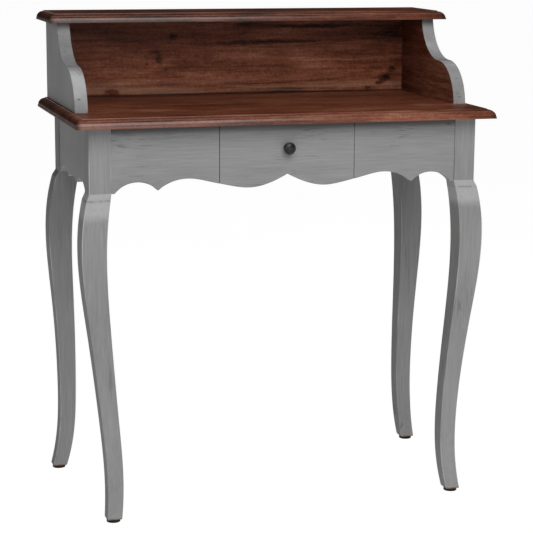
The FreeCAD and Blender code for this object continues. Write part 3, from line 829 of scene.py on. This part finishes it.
backMarks = [  # x, z, half length, half height, depth
    (-0.126, 0.844, 0.010, 0.004, 0.9),
    (-0.158, 0.802, 0.006, 0.009, 0.7),
    (-0.165, 0.816, 0.012, 0.006, 0.4),
    (-0.180, 0.790, 0.005, 0.003, 0.5),
    (-0.143, 0.779, 0.005, 0.003, 0.5),
    (-0.250, 0.737, 0.014, 0.008, 0.7),
    (0.030, 0.866, 0.040, 0.003, 0.6),
    (0.130, 0.861, 0.095, 0.0028, 1.0),
    (0.080, 0.831, 0.085, 0.0035, 1.0),
    (-0.010, 0.828, 0.050, 0.004, 0.4),
    (0.326, 0.772, 0.007, 0.007, 0.8),
    (0.312, 0.757, 0.010, 0.007, 1.0),
    (0.300, 0.746, 0.008, 0.004, 0.6),
    (0.277, 0.736, 0.008, 0.005, 0.8),
    (0.330, 0.840, 0.022, 0.020, 0.4),
    (0.200, 0.774, 0.130, 0.028, -0.26),  # paler stretches
    (-0.190, 0.774, 0.150, 0.020, -0.30),
]
dress("hutch_back", stainedWood("stainedBack", "x", (0.2, 0.9, 0.5), backMarks, faded=0.01))
print("back board stained")


# Knob: a turned iron button on its rosette

knob = {
    "sides": 48,
    "crease": 40.0,  # degrees
    "profile": [  # distance out from the rosette and radius, in millimetres
        (0.0, 6.0), (0.9, 5.2), (2.6, 4.5), (4.6, 4.6), (6.2, 6.4), (7.6, 9.4), (8.4, 10.6), (9.2, 11.0),
        (10.9, 11.0), (11.8, 10.6), (12.4, 10.0), (12.6, 9.3), (12.4, 8.7), (12.1, 8.3), (12.3, 7.8),
        (12.9, 6.6), (13.5, 4.2), (13.8, 1.6),
    ],
}


def turnedPiece(name, centre, profile, sides):  # rings drawn forwards from a disc
    start, radius = profile[0]
    bpy.ops.object.select_all(action="DESELECT")
    bpy.ops.mesh.primitive_circle_add(vertices=sides, radius=radius, fill_type="NGON",
                                      location=(centre.x, centre.y - start, centre.z),
                                      rotation=(math.pi / 2, 0.0, 0.0))
    piece = bpy.context.object
    piece.name = name
    bpy.ops.object.transform_apply(location=True, rotation=True, scale=False)
    pickFaces(piece, lambda middle, normal: True)
    bpy.ops.mesh.duplicate()  # the first disc stays as the back
    for out, ring in profile[1:]:
        drawOut((0.0, start - out, 0.0))
        middle = (centre.x, centre.y - out, centre.z)
        bpy.ops.transform.resize(value=(ring / radius, 1.0, ring / radius), center_override=middle)
        start, radius = out, ring
    bpy.ops.mesh.select_all(action="SELECT")
    bpy.ops.mesh.remove_doubles(threshold=hairsbreadth)
    bpy.ops.mesh.normals_make_consistent(inside=False)
    leave()
    return piece


knobIron = darkIron()
low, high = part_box("knob")
centre = Vector(((low.x + high.x) / 2, high.y, (low.z + high.z) / 2))
stretch = (high.y - low.y) / knob["profile"][-1][0]  # the crown reaches as far as the CAD knob's
profile = [(out * stretch, radius / 1000) for out, radius in knob["profile"]]
turned = turnedPiece("finished_knob", centre, profile, knob["sides"])
smooth(turned, knob["crease"])
seat(turned, knobIron, "dark_iron", "knob")
dress("knob_rosette", knobIron)
print("knob turned")


# The rest of the joinery keeps its CAD shape

ends = ("left", "right")
corners = ("front_left", "front_right", "rear_left", "rear_right")
screws = screwSteel()
glides = glidePlastic()
for piece in ("guide", "runner", "kicker", "stop"):
    for end in ends:
        dress("drawer_" + piece + "_" + end, rawFinish["y"])
for corner in corners:
    dress("corner_block_" + corner, rawFinish["z"])
    dress("foot_pad_" + corner, glides)
for name in ("desktop_screws", "knob_screw"):
    dress(name, screws)
print("joinery dressed")


# Studio

studio = {
    "floorSize": 600.0,
    "floorGlow": 0.97,
    "world": 0.05,
}
lamps = {
    "key": {"place": (-0.12, -2.6, 2.55), "aim": (0.0, 0.0, 0.45), "size": (2.2, 2.2), "power": 100.0},
    "strip": {"place": (0.0, 0.05, 3.0), "aim": (0.0, 0.04, 0.0), "size": (3.4, 0.30), "power": 12.0},
    "fill": {"place": (0.2, -4.0, 0.9), "aim": (0.0, 0.0, 0.7), "size": (1.5, 1.5), "power": 18.0},
}


def softLight(name, place, aim, size, power):
    bpy.ops.object.light_add(type="AREA", location=place)
    lamp = bpy.context.object
    lamp.name = name
    lamp.data.shape = "RECTANGLE"
    lamp.data.size, lamp.data.size_y = size
    lamp.data.energy = power
    lamp.rotation_euler = (Vector(aim) - Vector(place)).to_track_quat("-Z", "Y").to_euler()


bpy.ops.object.select_all(action="DESELECT")
bpy.ops.mesh.primitive_plane_add(size=studio["floorSize"])
floor = bpy.context.object
floor.name = "floor"
floor.data.materials.append(paleFloor(studio["floorGlow"]))
for name, lamp in lamps.items():
    softLight(name, **lamp)
world = bpy.data.worlds.new("softRoom")
world.use_nodes = True
sky = world.node_tree.nodes["Background"]
sky.inputs["Color"].default_value = (1.0, 1.0, 1.0, 1.0)
sky.inputs["Strength"].default_value = studio["world"]
bpy.context.scene.world = world
bpy.context.scene.view_settings.view_transform = "Standard"

view = {
    "place": (-0.915533, -3.070254, 1.062700),
    "yaw": 16.8003,     # degrees to the right of straight on
    "pitch": 11.3915,   # degrees downwards
    "roll": 0.4120,
    "focal": 115.486,   # millimetres, on a frame this wide
    "frame": 36.0,
}
bpy.ops.object.camera_add(location=view["place"])
camera = bpy.context.object
camera.data.sensor_width = view["frame"]
camera.data.lens = view["focal"]
turn = Matrix.Rotation(math.radians(-view["yaw"]), 4, "Z")
turn = turn @ Matrix.Rotation(math.radians(90.0 - view["pitch"]), 4, "X")
turn = turn @ Matrix.Rotation(math.radians(view["roll"]), 4, "Z")
camera.rotation_euler = turn.to_euler()
bpy.context.scene.camera = camera
print("studio set")
